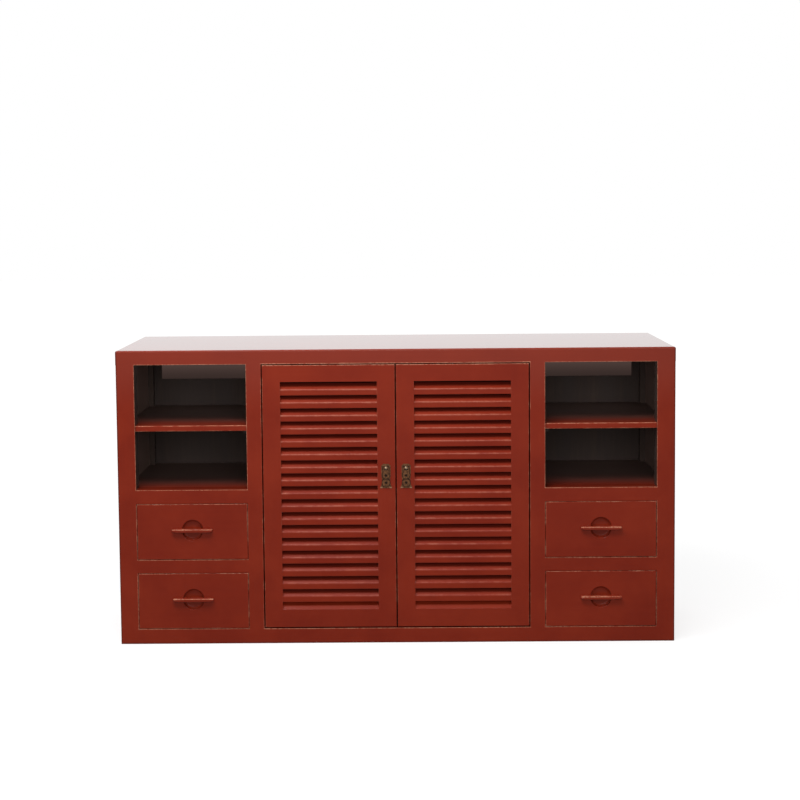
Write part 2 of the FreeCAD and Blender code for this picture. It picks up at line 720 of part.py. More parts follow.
def make_drawer(level_name):
    level = drawer_levels[level_name]
    low = level + size.drawer_gap
    high = level + size.drawer_opening_height - size.drawer_gap
    name = f"left_{level_name}_drawer"
    middle_x = -(drawer_outer + drawer_inner) / 2
    middle_z = level + size.drawer_opening_height / 2 + size.pull_rise
    side_z = (level + size.drawer_lift, level + size.drawer_lift + size.drawer_side_height)
    bottom_low = side_z[0] + size.drawer_bottom_rise
    bottom_z = (bottom_low, bottom_low + size.drawer_bottom_thickness)
    thick = size.drawer_side_thickness
    inside_x = (thick - drawer_side_outer, -drawer_side_inner - thick)
    groove = size.drawer_groove_depth
    bottom_x = (inside_x[0] - groove, inside_x[1] + groove)

    front = block(f"{name}_front", (-drawer_outer, -drawer_inner), (face, drawer_box_front), (low, high))
    round_edges(front, size.drawer_arris, lambda point: near(point.y, face))
    cut_box(front, bottom_x, (drawer_box_front - groove, drawer_box_front), bottom_z)
    start = (middle_x, face - size.overrun, middle_z)
    reach = size.recess_depth + size.overrun
    cylinder_feature(front, "Subtractive", size.recess_radius, start, reach, ALONG_Y)
    floor = face + size.recess_depth
    radius = size.recess_radius.value

    def on_recess(point):
        return near(math.hypot(point.x - middle_x.value, point.z - middle_z.value), length(radius))

    round_edges(front, size.recess_cove, lambda point: near(point.y, floor) and on_recess(point))
    round_edges(front, size.recess_rim, lambda point: near(point.y, face) and on_recess(point))

    y = (drawer_box_front, drawer_box_back)
    outer_side = block(f"{name}_outer_side", (-drawer_side_outer, inside_x[0]), y, side_z)
    cut_box(outer_side, (inside_x[0] - groove, inside_x[0]), y, bottom_z)
    inner_side = block(f"{name}_inner_side", (inside_x[1], -drawer_side_inner), y, side_z)
    cut_box(inner_side, (inside_x[1], inside_x[1] + groove), y, bottom_z)
    sides = group(f"{name}_sides", [outer_side, inner_side])

    back_y = (drawer_box_back - thick, drawer_box_back)
    rear = block(f"{name}_back", inside_x, back_y, (bottom_z[1], side_z[1]))
    floor_y = (drawer_box_front - groove, drawer_box_back)
    bottom = block(f"{name}_bottom", bottom_x, floor_y, bottom_z)

    # The bar lies across the recess: its ends taper and rest on the drawer front.
    bar = new_body(f"{name}_bar")
    sketch = sketch_on(bar, "XZ_Plane", -face)
    end = size.bar_length / 2
    shoulder = end - size.bar_taper_length
    tall = size.bar_height / 2
    slim = size.bar_end_height / 2
    draw_outline(sketch, [
        (middle_x - end, middle_z - slim), (middle_x - shoulder, middle_z - tall),
        (middle_x + shoulder, middle_z - tall), (middle_x + end, middle_z - slim),
        (middle_x + end, middle_z + slim), (middle_x + shoulder, middle_z + tall),
        (middle_x - shoulder, middle_z + tall), (middle_x - end, middle_z + slim),
    ])
    pad(bar, sketch, size.bar_projection)
    outside = face - size.bar_projection
    round_edges(bar, size.bar_arris, lambda point: near(point.y, outside))

    for piece in (front, bar, sides, rear, bottom):
        nodes.append(piece)
        nodes.append(mirrored(piece, piece.Label.replace("left_", "right_")))


door_bottom = size.bottom_rail_height + size.door_gap
door_top = under_top - size.door_gap
door_back = face + size.door_thickness
door_outer = door_half - size.door_gap
door_inner = size.door_gap / 2
louvre_outer = door_outer - size.door_stile_width
louvre_inner = door_inner + size.door_stile_width
louvre_top = door_top - size.door_top_rail_height
rail_face_top = door_bottom + size.door_bottom_rail_height
slat_nose = louvre_top - size.slat_first_drop
slat_front = face + size.slat_setback
slat_pitch = (slat_nose - rail_face_top) / SLAT_COUNT
pivot_x = size.pivot_inset - door_outer
pivot_y = face + size.pivot_setback
pull_y = face - size.plate_thickness - size.ball_seat


def rail_tenon(low, high):
    """Depth and height of the tenon of a door rail that reaches from low to high."""
    middle = face + size.door_thickness / 2
    half = size.rail_tenon_thickness / 2
    return (middle - half, middle + half), (low + size.rail_tenon_shoulder, high - size.rail_tenon_shoulder)


def slat_tenon():
    """Depth and height of the highest slat's stub tenon, in the middle of its slanting section."""
    half = size.slat_tenon_side / 2
    middle_y = slat_front + size.slat_slope / 2
    middle_z = slat_nose + (size.slat_slope - size.slat_face) / 2
    return (middle_y - half, middle_y + half), (middle_z - half, middle_z + half)


def make_stile(label, x, mortise_side):
    """A door stile with mortises on one side for the rails' and the slats' tenons."""
    body = block(label, x, (face, door_back), (door_bottom, door_top))
    outer, edge = x if mortise_side > 0 else reversed(x)

    def on_rim(point):
        return near(point.x, outer) or near(point.z, door_bottom) or near(point.z, door_top)

    round_edges(body, size.door_arris, lambda point: near(point.y, face) and on_rim(point))

    def mortise(reach, y, z):
        span = (edge - reach, edge) if mortise_side > 0 else (edge, edge + reach)
        return cut_box(body, span, y, z)

    mortise(size.rail_tenon_length, *rail_tenon(louvre_top, door_top))
    mortise(size.rail_tenon_length, *rail_tenon(door_bottom, rail_face_top))
    first = mortise(size.slat_tenon, *slat_tenon())
    repeat_down(body, [first])
    return body


def repeat_down(body, features=()):
    """Repeats the features, or else the whole body, once for every slat, each a pitch lower."""
    pattern = body.newObject("PartDesign::LinearPattern", f"{body.Name}_Slats")
    if features:
        pattern.Originals = list(features)
    else:
        pattern.TransformMode = "Whole shape"
    axis = next(item for item in body.Origin.OriginFeatures if item.Role == "Z_Axis")
    pattern.Direction = (axis, [""])
    pattern.Reversed = True
    pattern.Occurrences = SLAT_COUNT
    bind(pattern, "Length", slat_pitch * (SLAT_COUNT - 1))
    body.Tip = pattern
    doc.recompute()


def make_slats():
    body = new_body("left_door_slats")
    body.AllowCompound = True
    sketch = sketch_on(body, "YZ_Plane", -louvre_outer)
    rear = slat_front + size.slat_slope
    low = slat_nose - size.slat_face
    high_bend = size.slat_top_arris * TAN_OF_SLAT_BEND_HALVED
    low_bend = size.slat_low_arris / TAN_OF_SLAT_BEND_HALVED
    draw_outline(sketch, [
        (slat_front, low + low_bend, size.slat_low_arris),
        (slat_front + low_bend / ROOT_OF_TWO, low + low_bend / ROOT_OF_TWO),
        (rear, low + size.slat_slope),
        (rear, slat_nose + size.slat_slope),
        (slat_front + high_bend / ROOT_OF_TWO, slat_nose + high_bend / ROOT_OF_TWO, size.slat_top_arris),
        (slat_front, slat_nose - high_bend),
    ])
    pad(body, sketch, louvre_outer - louvre_inner)
    y, z = slat_tenon()
    x = (-louvre_outer - size.slat_tenon, size.slat_tenon - louvre_inner)
    add_box(body, x, y, z)
    repeat_down(body)
    return body


def make_door_rails():
    x = (-louvre_outer, -louvre_inner)
    reach = size.rail_tenon_length
    tenon_x = (x[0] - reach, x[1] + reach)
    top = block("left_door_top_rail", x, (face, door_back), (louvre_top, door_top))
    round_edges(top, size.door_arris, lambda point: near(point.y, face) and near(point.z, door_top))
    add_box(top, tenon_x, *rail_tenon(louvre_top, door_top))

    # The bottom rail's upper edge slopes up to the back, like the slats above it.
    bottom = new_body("left_door_bottom_rail")
    sketch = sketch_on(bottom, "YZ_Plane", x[0])
    slope = size.slat_setback + size.slat_slope
    draw_outline(sketch, [
        (face, door_bottom), (door_back, door_bottom), (door_back, rail_face_top + slope),
        (face + slope, rail_face_top + slope), (face, rail_face_top),
    ])
    pad(bottom, sketch, x[1] - x[0])
    edge_levels = (door_bottom, rail_face_top)
    round_edges(bottom, size.door_arris,
                lambda point: near(point.y, face) and any(near(point.z, level) for level in edge_levels))
    add_box(bottom, tenon_x, *rail_tenon(door_bottom, rail_face_top))
    return group("left_door_rails", [top, bottom])


def make_pivots():
    """Brass pins in the ends of the hinge stile."""
    reach = size.pivot_embed + size.door_gap + size.pivot_engagement
    pins = []
    starts = {"low": door_bottom + size.pivot_embed - reach, "high": door_top - size.pivot_embed}
    for name, start in starts.items():
        pin = doc.addObject("Part::Cylinder", f"{name}_pivot")
        bind(pin, "Radius", size.pivot_radius)
        bind(pin, "Height", reach)
        move(pin, pivot_x, pivot_y, start)
        pins.append(pin)
    return group("left_door_pivots", pins)


def make_plate(pull_x):
    """The back plate: notched shoulders, a drawn-in waist and a flared foot."""
    body = new_body("left_pull_plate")
    sketch = sketch_on(body, "XZ_Plane", -face)
    axis = size.plate_axis_height
    top = axis + size.plate_top_reach
    half = size.plate_half_width
    notch = size.plate_shoulder
    curve = -size.plate_curve_radius
    right = [
        (size.plate_foot_half, axis - size.plate_reach),
        (size.plate_foot_half, axis - size.plate_foot_reach, curve),
        (half, axis - size.plate_belly_reach),
        (size.plate_waist_half, axis - size.plate_waist_reach),
        (half, axis - size.plate_straight),
        (half, top - notch, -notch),
        (half - notch, top),
    ]
    left = [
        (notch - half, top, -notch),
        (-half, top - notch),
        (-half, axis - size.plate_straight),
        (-size.plate_waist_half, axis - size.plate_waist_reach),
        (-half, axis - size.plate_belly_reach, curve),
        (-size.plate_foot_half, axis - size.plate_foot_reach),
        (-size.plate_foot_half, axis - size.plate_reach),
    ]
    draw_outline(sketch, [(pull_x + corner[0], *corner[1:]) for corner in right + left])
    draw_circle(sketch, pull_x, axis, size.shank_radius)
    pad(body, sketch, size.plate_thickness)
    return body


def make_pin(pull_x):
    """A pin with a ball head that is cut flat where it seats on the plate, and a cross hole for the drop."""
    body = new_body("left_pull_pin")
    sketch = sketch_on(body, "XY_Plane", size.plate_axis_height)
    bind(sketch, "AttachmentOffset.Base.x", pull_x)
    seat_y = face - size.plate_thickness
    seat_half = chord_height(size.ball_radius, size.ball_seat)
    draw_outline(sketch, [
        (0, door_back), (0, pull_y - size.ball_radius, size.ball_radius),
        (size.ball_radius, pull_y, size.ball_radius), (seat_half, seat_y),
        (size.shank_radius, seat_y), (size.shank_radius, door_back),
    ])
    head = body.newObject("PartDesign::Revolution", "PullPinTurned")
    head.Profile = sketch
    head.ReferenceAxis = (sketch, ["V_Axis"])
    head.Angle = 360
    doc.recompute()
    radius = size.drop_bar_radius + size.drop_bar_clearance
    start = (pull_x - size.ball_radius, pull_y, size.plate_axis_height)
    cylinder_feature(body, "Subtractive", radius, start, size.ball_radius * 2, ALONG_X)
    return body


def make_drop(pull_x):
    """A pierced gourd-shaped drop: two cheeks beside the ball, a round bar through it, and two lobes."""
    body = new_body("left_pull_drop")
    axis = size.plate_axis_height
    half = size.drop_thickness / 2
    sketch = sketch_on(body, "XZ_Plane", half - pull_y - size.drop_thickness)
    cheek = size.drop_cheek_half
    window = size.drop_window_half
    neck = size.drop_neck_half
    upper = axis - size.upper_lobe_reach
    lower = axis - size.lower_lobe_reach
    upper_radius = size.upper_lobe_radius
    lower_radius = size.lower_lobe_radius
    shoulder = upper + chord_height(upper_radius, cheek)
    neck_top = upper - chord_height(upper_radius, neck)
    neck_low = lower + chord_height(lower_radius, neck)
    top = axis + size.drop_bar_radius
    window_low = axis - size.drop_window_reach
    draw_outline(sketch, [(pull_x + corner[0], *corner[1:]) for corner in [
        (length(0), lower - lower_radius, lower_radius),
        (neck, neck_low),
        (neck, neck_top, upper_radius),
        (cheek, shoulder),
        (cheek, top),
        (window, top),
        (window, window_low),
        (-window, window_low),
        (-window, top),
        (-cheek, top),
        (-cheek, shoulder, upper_radius),
        (-neck, neck_top),
        (-neck, neck_low, lower_radius),
    ]])
    draw_circle(sketch, pull_x, upper, size.drop_hole_radius)
    draw_circle(sketch, pull_x, lower, size.drop_hole_radius)
    pad(body, sketch, size.drop_thickness)
    start = (pull_x - cheek, pull_y, axis)
    cylinder_feature(body, "Additive", size.drop_bar_radius, start, cheek * 2, ALONG_X)
    return body


def make_doors():
    hinge = make_stile("left_door_hinge_stile", (-door_outer, -louvre_outer), 1)
    for start in (door_bottom, door_top - size.pivot_embed):
        place = (pivot_x, pivot_y, start)
        cylinder_feature(hinge, "Subtractive", size.pivot_radius, place, size.pivot_embed, UPRIGHT)
    meeting = make_stile("left_door_meeting_stile", (-louvre_inner, -door_inner), -1)
    pull_x = -size.plate_offset
    start = (pull_x, face, size.plate_axis_height)
    cylinder_feature(meeting, "Subtractive", size.shank_radius, start, size.door_thickness, ALONG_Y)
    pieces = [hinge, meeting, make_door_rails(), make_slats(), make_pivots()]
    pieces += [make_plate(pull_x), make_pin(pull_x), make_drop(pull_x)]
    for piece in pieces:
        nodes.append(piece)
        nodes.append(mirrored(piece, piece.Label.replace("left_", "right_")))


def make_socket(name, low):
    """A brass tube that lines a pivot's hole."""
    shell = doc.addObject("Part::Cylinder", f"{name}_socket_shell")
    bind(shell, "Radius", size.socket_radius - size.pivot_clearance)
    bore = doc.addObject("Part::Cylinder", f"{name}_socket_bore")
    bind(bore, "Radius", size.pivot_radius + size.pivot_clearance)
    for item in (shell, bore):
        bind(item, "Height", size.socket_depth)
        move(item, pivot_x, pivot_y, low)
    socket = doc.addObject("Part::Cut", f"{name}_socket")
    socket.Base = shell
    socket.Tool = bore
    return socket


def make_fittings():
    sockets = [
        make_socket("low", size.bottom_rail_height - size.socket_depth),
        make_socket("high", under_top),
    ]
    x = (-size.catch_offset - size.catch_length, -size.catch_offset)
    y = (door_back + size.catch_gap, door_back + size.catch_gap + size.catch_depth)
    catch = block("door_catch", x, y, (under_top - size.catch_height, under_top))
    nodes.append(both_sides("pivot_sockets", sockets))
    nodes.append(both_sides("door_catches", [catch]))


def check_document():
    """Stops if any object failed, or if a node is empty or broken."""
    doc.recompute()
    for item in doc.Objects:
        if "Invalid" in item.State or "Error" in item.State:
            raise RuntimeError(f"{item.Label}: {item.State}")
    for node in nodes:
        if node.Shape.isNull() or not node.Shape.isValid() or not node.Shape.Solids:
            raise RuntimeError(f"{node.Label}: its shape is empty or not valid")


def export_nodes():
    os.makedirs("parts", exist_ok=True)
    for node in nodes:
        node.Shape.exportStep(f"parts/{node.Label}.step")
        volume = node.Shape.Volume
        print(f"{node.Label}: {len(node.Shape.Solids)} solids, {volume:.0f} mm3")


make_top()
make_posts()
make_rails()
make_panels()
make_boards()
make_runners()
for drawer_level in DRAWER_LEVELS:
    make_drawer(drawer_level)
make_doors()
make_fittings()
check_document()
export_nodes()
print(len(nodes), "nodes")
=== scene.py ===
import math

import bpy
from mathutils import Matrix, Vector


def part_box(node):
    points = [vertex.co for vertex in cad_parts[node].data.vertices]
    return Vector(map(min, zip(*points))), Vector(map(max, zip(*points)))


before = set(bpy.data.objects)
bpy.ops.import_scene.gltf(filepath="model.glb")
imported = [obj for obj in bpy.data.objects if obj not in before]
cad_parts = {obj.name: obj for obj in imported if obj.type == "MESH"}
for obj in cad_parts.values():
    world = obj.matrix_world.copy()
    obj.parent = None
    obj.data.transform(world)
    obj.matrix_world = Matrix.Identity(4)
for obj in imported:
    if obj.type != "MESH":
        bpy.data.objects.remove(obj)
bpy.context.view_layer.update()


MM = 0.001

# Places that the looks need, taken from the CAD nodes
top_low, top_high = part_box("top_front_rail")
FACE = top_low.y
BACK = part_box("back_bottom_rail")[1].y
SIDE = top_high.x
TOP = top_high.z
UNDER_TOP = top_low.z
NICHE_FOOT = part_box("bay_rails")[1].z
door_low, door_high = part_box("left_door_hinge_stile")
meet_low, meet_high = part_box("left_door_meeting_stile")
DOOR_OUTLINE = ((-meet_high.x, door_low.z), (-door_low.x, door_high.z))
pin_low, pin_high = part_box("right_pull_pin")
PULL_X = (pin_low.x + pin_high.x) / 2
PULL_AXIS = (pin_low.z + pin_high.z) / 2
PLATE_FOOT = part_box("right_pull_plate")[0].z
slats_low, slats_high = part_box("left_door_slats")

# Sizes of the same pieces that the nodes' boxes don't give
SLOT = ((449.5 * MM, 718 * MM), (744 * MM, 792 * MM))
DOOR_GAP = 4 * MM
GAP_DEPTH = 24 * MM
LOUVRE_HEAD = 4 * MM
PANEL_THICKNESS = 12 * MM
RECESS_RADIUS = 30 * MM
LOBE_DROPS = (22 * MM, 43 * MM)
LOBE_RADII = (10 * MM, 11 * MM)
SLAT_COUNT = 17
SLAT_FACE = 19.8 * MM
SLAT_NOSE = slats_high.z - (slats_high.y - slats_low.y)
SLAT_PITCH = (SLAT_NOSE - slats_low.z - SLAT_FACE) / (SLAT_COUNT - 1)


# Camera at the photograph's place, which a fit to the front's corners gave
CAMERA_PLACE = Vector((0.0356, FACE - 3.9842, 1.2593))
CAMERA_PAN, CAMERA_TILT, CAMERA_ROLL = (math.radians(angle) for angle in (-0.425, 3.938, 0.489))
IMAGE_WIDTH = 800
FOCAL_PIXELS = 1403.8
AXIS_PIXEL = (396.7, 302.7)
SENSOR_MM = 36


def place_camera():
    """The lens is shifted, because the photograph's axis isn't in its middle."""
    pan, tilt, roll = CAMERA_PAN, CAMERA_TILT, CAMERA_ROLL
    forward = Vector((math.sin(pan) * math.cos(tilt), math.cos(pan) * math.cos(tilt), -math.sin(tilt)))
    right = Vector((math.cos(pan), -math.sin(pan), 0))
    down = forward.cross(right)
    turned_right = right * math.cos(roll) + down * math.sin(roll)
    turned_down = down * math.cos(roll) - right * math.sin(roll)
    data = bpy.data.cameras.new("camera")
    data.sensor_width = SENSOR_MM
    data.lens = FOCAL_PIXELS * SENSOR_MM / IMAGE_WIDTH
    data.shift_x = (IMAGE_WIDTH / 2 - AXIS_PIXEL[0]) / IMAGE_WIDTH
    data.shift_y = (AXIS_PIXEL[1] - IMAGE_WIDTH / 2) / IMAGE_WIDTH
    camera = bpy.data.objects.new("camera", data)
    turn = Matrix((turned_right, -turned_down, -forward)).transposed()
    camera.matrix_world = Matrix.Translation(CAMERA_PLACE) @ turn.to_4x4()
    bpy.context.scene.collection.objects.link(camera)
    bpy.context.scene.camera = camera


# Node graphs
def srgb(red, green, blue):
    """A colour written in the 0 to 255 scale, as linear RGBA."""
    channels = []
    for channel in (red, green, blue):
        share = channel / 255
        channels.append(share / 12.92 if share <= 0.04045 else ((share + 0.055) / 1.055) ** 2.4)
    return (*channels, 1)


class Graph:
    """The nodes of one material or of the world, built by short calls."""

    def __init__(self, tree):
        self.tree = tree
        tree.nodes.clear()

    def node(self, kind, **settings):
        node = self.tree.nodes.new("ShaderNode" + kind)
        for name, value in settings.items():
            setattr(node, name, value)
        return node

    def feed(self, socket, value):
        if isinstance(value, bpy.types.NodeSocket):
            self.tree.links.new(value, socket)
        else:
            socket.default_value = value

    def math(self, operation, *values, clamp=False):
        node = self.node("Math", operation=operation, use_clamp=clamp)
        for socket, value in zip(node.inputs, values):
            self.feed(socket, value)
        return node.outputs[0]

    def vector(self, operation, *values):
        node = self.node("VectorMath", operation=operation)
        for socket, value in zip(node.inputs, values):
            self.feed(socket, value)
        return node.outputs[1] if operation in ("LENGTH", "DISTANCE", "DOT_PRODUCT") else node.outputs[0]

    def remap(self, value, low, high, start=0.0, end=1.0, smooth=True):
        """Start at low and end at high, held beyond them."""
        kind = "SMOOTHSTEP" if smooth else "LINEAR"
        node = self.node("MapRange", interpolation_type=kind)
        for socket, item in zip(node.inputs, (value, low, high, start, end)):
            self.feed(socket, item)
        return node.outputs[0]

    def mix(self, share, first, second):
        node = self.node("Mix", data_type="RGBA")
        self.feed(node.inputs["Factor"], share)
        self.feed(node.inputs["A"], first)
        self.feed(node.inputs["B"], second)
        return node.outputs["Result"]

    def noise(self, point, scale, detail, roughness, stretch=(1, 1, 1)):
        node = self.node("TexNoise")
        self.feed(node.inputs["Vector"], self.vector("MULTIPLY", point, stretch))
        node.inputs["Scale"].default_value = scale
        node.inputs["Detail"].default_value = detail
        node.inputs["Roughness"].default_value = roughness
        return node.outputs["Fac"]

    def split(self, vector):
        node = self.node("SeparateXYZ")
        self.feed(node.inputs[0], vector)
        return node.outputs


class Surface(Graph):
    """A material whose nodes read the row frame's coordinates, which ride with the piece."""

    def __init__(self, name):
        self.material = bpy.data.materials.new(name)
        self.material.use_nodes = True
        super().__init__(self.material.node_tree)
        self.point = self.node("TexCoord").outputs["Object"]
        self.x, self.y, self.z = self.split(self.point)
        self.across = self.math("ABSOLUTE", self.x)

    def finish(self, colour, roughness, height, bump, reach, metallic=0.0, **constants):
        """Ends in one Principled shader. bump is how strongly the height shows, reach how far it goes."""
        shader = self.node("BsdfPrincipled")
        self.feed(shader.inputs["Base Color"], colour)
        self.feed(shader.inputs["Roughness"], roughness)
        self.feed(shader.inputs["Metallic"], metallic)
        for name, value in constants.items():
            shader.inputs[name.replace("_", " ")].default_value = value
        node = self.node("Bump")
        node.inputs["Strength"].default_value = bump
        node.inputs["Distance"].default_value = reach
        self.feed(node.inputs["Height"], height)
        self.feed(shader.inputs["Normal"], node.outputs[0])
        output = self.node("OutputMaterial")
        self.feed(output.inputs["Surface"], shader.outputs[0])
        return self.material

    def by_depth(self, low, high, start=0.0, end=1.0):
        """Goes from start to end between two depths behind the face."""
        return self.remap(self.y, FACE + low, FACE + high, start, end)

    # Distances to arrises, in metres
    def to_rectangle(self, x, z, low, high):
        """How far a point of the front lies from a rectangle's outline."""
        beyond_x = self.beyond(x, low[0], high[0])
        beyond_z = self.beyond(z, low[1], high[1])
        outside = self.hypotenuse(self.math("MAXIMUM", beyond_x, 0), self.math("MAXIMUM", beyond_z, 0))
        inside = self.math("MINIMUM", self.math("MAXIMUM", beyond_x, beyond_z), 0)
        return self.math("ABSOLUTE", self.math("ADD", outside, inside))

    def to_line(self, along, away, start, end, place):
        """How far a point of the front lies from a straight arris."""
        past = self.math("MAXIMUM", self.beyond(along, start, end), 0)
        return self.hypotenuse(past, self.apart(away, place))

    def beyond(self, value, start, end):
        """How far a value lies past the ends of a range, and less than 0 within it."""
        return self.math("SUBTRACT", self.apart(value, (start + end) / 2), (end - start) / 2)

    def hypotenuse(self, first, second):
        squares = self.math("MULTIPLY_ADD", first, first, self.math("MULTIPLY", second, second))
        return self.math("SQRT", squares)

    def apart(self, value, place):
        return self.math("ABSOLUTE", self.math("SUBTRACT", value, place))

    def nearest(self, distances):
        least = distances[0]
        for distance in distances[1:]:
            least = self.math("MINIMUM", least, distance)
        return least

    def at_face(self, distances):
        """The nearest of some lines on the front's plane, measured in depth as well."""
        return self.hypotenuse(self.nearest(distances), self.apart(self.y, FACE))


def rectangle(low, high):
    """The X and Z limits of a box, on the right-hand side."""
    x = sorted((abs(low.x), abs(high.x)))
    return (x[0], low.z), (x[1], high.z)


# Colours of the object
RED = srgb(120, 33, 14)
RED_DEEP = srgb(112, 29, 12)
RED_LIGHT = srgb(126, 38, 18)
SHEEN_RED = srgb(124, 50, 38)
RECESS_LIT_RED = srgb(142, 46, 26)
THIN_AND_LIT_RED = srgb(150, 72, 54)
UNDERCOAT = srgb(182, 124, 98)
GAP_SHADE_RED = srgb(84, 22, 13)
SHADE_RED = srgb(70, 20, 10)
STAIN = srgb(60, 49, 45)
STAIN_LIGHT = srgb(72, 59, 53)
NICHE_FILL_STAIN = srgb(96, 76, 69)
STAIN_FILL_LIT = srgb(134, 109, 99)
BARE = srgb(178, 138, 98)
BARE_DARK = srgb(142, 102, 68)
BRASS = srgb(102, 67, 42)
BRASS_DARK = srgb(60, 39, 24)
BRASS_BLACK = srgb(31, 19, 13)
BRASS_RUBBED = srgb(130, 98, 74)
BRASS_BRIGHT = srgb(148, 132, 112)
CARD_SHADE_COLOUR = srgb(68, 54, 50)
LACQUER_IOR = 1.15
COAT_IOR = 1.12
STAIN_IOR = 1.25
BRASS_IOR = 1.2

# Scales of the figures: about how many of each lie in a metre, and how many bands a ring's figure has
CLOUDS = 5
WORN_PATCHES = 24
BRUSH_MARKS = 60
CHIPS = 160
FINE_GRAIN = 420
STAIN_FIGURE = 30
STAIN_PORES = 260
WOOD_RINGS = 18
RING_BANDS = 9
WOOD_PORES = 240
PATINA = 260

# How the figures are drawn out along the grain
DRAWN_OUT = 0.06
ALONG_X = (DRAWN_OUT, 1, 1)
ALONG_Y = (1, DRAWN_OUT, 1)
ALONG_Z = (1, 1, DRAWN_OUT)

# The values between which a figure changes a look, with its strength at either where that isn't 0 and 1
MOST = (0.3, 0.7)
BRUSHED = (0.35, 0.75, 0, 0.5)
PATCHED = (0.3, 0.72)
CHIPPED = (0.38, 0.55)
STAINED = (0.35, 0.75)
STAIN_PORED = (0.5, 0.75, 0, 0.5)
BANDED = (0.1, 0.95)
WOOD_PORED = (0.5, 0.7, 0, 0.45)
TARNISHED = (0.35, 0.65)

# Roughness at the low and the high end of each finish's figure
LACQUER_ROUGHNESS = (0.35, 0.45)
STAIN_ROUGHNESS = (0.55, 0.7)
WOOD_ROUGHNESS = (0.55, 0.72)
BRASS_ROUGHNESS = (0.6, 0.42)
WAXED_ROUGHNESS = 0.2

# Below the top the red pales with a painted sheen. Along the arrises the lacquer wears: bare next to them,
# and thin further out, a band that is also a painted highlight
SHEEN_HEIGHT = 150 * MM
SKIN = 0.5 * MM
BRUSHED_HEIGHT = 0.7
GRAIN_HEIGHT = 0.3
LEAST_REACH = 0.25
FULLY_WORN = 0.45
THIN_AND_LIT_REACH = 2.2
THIN_AND_LIT_SHARE = 0.5
WORN_ROUGHER = 0.2
WORN_LOWER = 0.5


def lacquer(name, wear_and_highlight=None, grain=(1, 1, 1), tones=(), width=1.7 * MM, chipped=1.0, coat=0.08, top_sheen=0.5):
    """Red lacquer over a pale undercoat. wear_and_highlight gives the distance to the nearest arris, width
    is how far the wear and its painted highlight reach, chipped is how bare the wood gets there, grain
    stretches its figure, and each of tones is a share with the colour it brings. Towards the top the red
    pales by top_sheen, a painted sheen, and the very top is waxed."""
    surface = Surface(name)
    point = surface.point
    cloud = surface.noise(point, CLOUDS, detail=4, roughness=0.6)
    brushed = surface.noise(point, BRUSH_MARKS, detail=4, roughness=0.6, stretch=grain)
    fine = surface.noise(point, FINE_GRAIN, detail=2, roughness=0.5, stretch=grain)
    colour = surface.mix(surface.remap(cloud, *MOST), RED_DEEP, RED_LIGHT)
    colour = surface.mix(surface.remap(brushed, *BRUSHED), colour, RED)
    # paler and pinker towards the top: a painted sheen
    sheen = surface.remap(surface.z, UNDER_TOP - SHEEN_HEIGHT, UNDER_TOP, 0, top_sheen)
    colour = surface.mix(sheen, colour, SHEEN_RED)
    roughness = surface.remap(cloud, *MOST, *LACQUER_ROUGHNESS)
    height = surface.math("MULTIPLY", fine, GRAIN_HEIGHT)
    height = surface.math("MULTIPLY_ADD", brushed, BRUSHED_HEIGHT, height)
    if wear_and_highlight is not None:
        distance = wear_and_highlight(surface)
        patches = surface.noise(point, WORN_PATCHES, detail=5, roughness=0.7)
        reach = surface.remap(patches, *PATCHED, LEAST_REACH * width, width)
        full = surface.math("MULTIPLY", reach, FULLY_WORN)
        thin_and_lit_reach = surface.math("MULTIPLY", reach, THIN_AND_LIT_REACH)
        # the thin band along an arris is thinner lacquer and a painted highlight
        thin_and_lit = surface.math("SUBTRACT", 1, surface.remap(distance, 0, thin_and_lit_reach))
        bare = surface.math("SUBTRACT", 1, surface.remap(distance, full, reach))
        colour = surface.mix(surface.math("MULTIPLY", thin_and_lit, THIN_AND_LIT_SHARE), colour, THIN_AND_LIT_RED)
        chips = surface.remap(surface.noise(point, CHIPS, detail=4, roughness=0.7), *CHIPPED)
        bare = surface.math("MULTIPLY", surface.math("MULTIPLY", bare, chips), chipped)
        colour = surface.mix(bare, colour, UNDERCOAT)
        roughness = surface.math("MULTIPLY_ADD", bare, WORN_ROUGHER, roughness)
        height = surface.math("SUBTRACT", height, surface.math("MULTIPLY", bare, WORN_LOWER))
    for share, tone in tones:
        amount = share(surface)
        colour = surface.mix(amount, colour, tone)
        roughness = surface.math("MULTIPLY_ADD", amount, WORN_ROUGHER, roughness)
    waxed = surface.math("GREATER_THAN", surface.z, TOP - SKIN)
    roughness = surface.math("MULTIPLY", roughness, surface.remap(waxed, 0, 1, 1, WAXED_ROUGHNESS))
    return surface.finish(colour, roughness, height, bump=0.25, reach=0.25 * MM, IOR=LACQUER_IOR,
                          Coat_Weight=1, Coat_Roughness=coat, Coat_IOR=COAT_IOR)


def dark_stain(name, grain):
    """Near-black stain, through which the wood's figure shows a little."""
    surface = Surface(name)
    figure = surface.noise(surface.point, STAIN_FIGURE, detail=6, roughness=0.65, stretch=grain)
    pores = surface.noise(surface.point, STAIN_PORES, detail=3, roughness=0.6, stretch=grain)
    colour = surface.mix(surface.remap(figure, *STAINED), STAIN, STAIN_LIGHT)
    colour = surface.mix(surface.remap(pores, *STAIN_PORED), colour, STAIN)
    roughness = surface.remap(figure, *MOST, *STAIN_ROUGHNESS)
    return surface.finish(colour, roughness, pores, bump=0.35, reach=0.3 * MM, IOR=STAIN_IOR)


def bare_wood(name, grain):
    """Plain wood with its rings, for the drawers' boxes."""
    surface = Surface(name)
    rings = surface.noise(surface.point, WOOD_RINGS, detail=5, roughness=0.6, stretch=grain)
    pores = surface.noise(surface.point, WOOD_PORES, detail=3, roughness=0.6, stretch=grain)
    bands = surface.math("FRACT", surface.math("MULTIPLY", rings, RING_BANDS))
    colour = surface.mix(surface.remap(bands, *BANDED), BARE, BARE_DARK)
    colour = surface.mix(surface.remap(pores, *WOOD_PORED), colour, BARE_DARK)
    roughness = surface.remap(pores, *MOST, *WOOD_ROUGHNESS)
    return surface.finish(colour, roughness, pores, bump=0.4, reach=0.3 * MM)


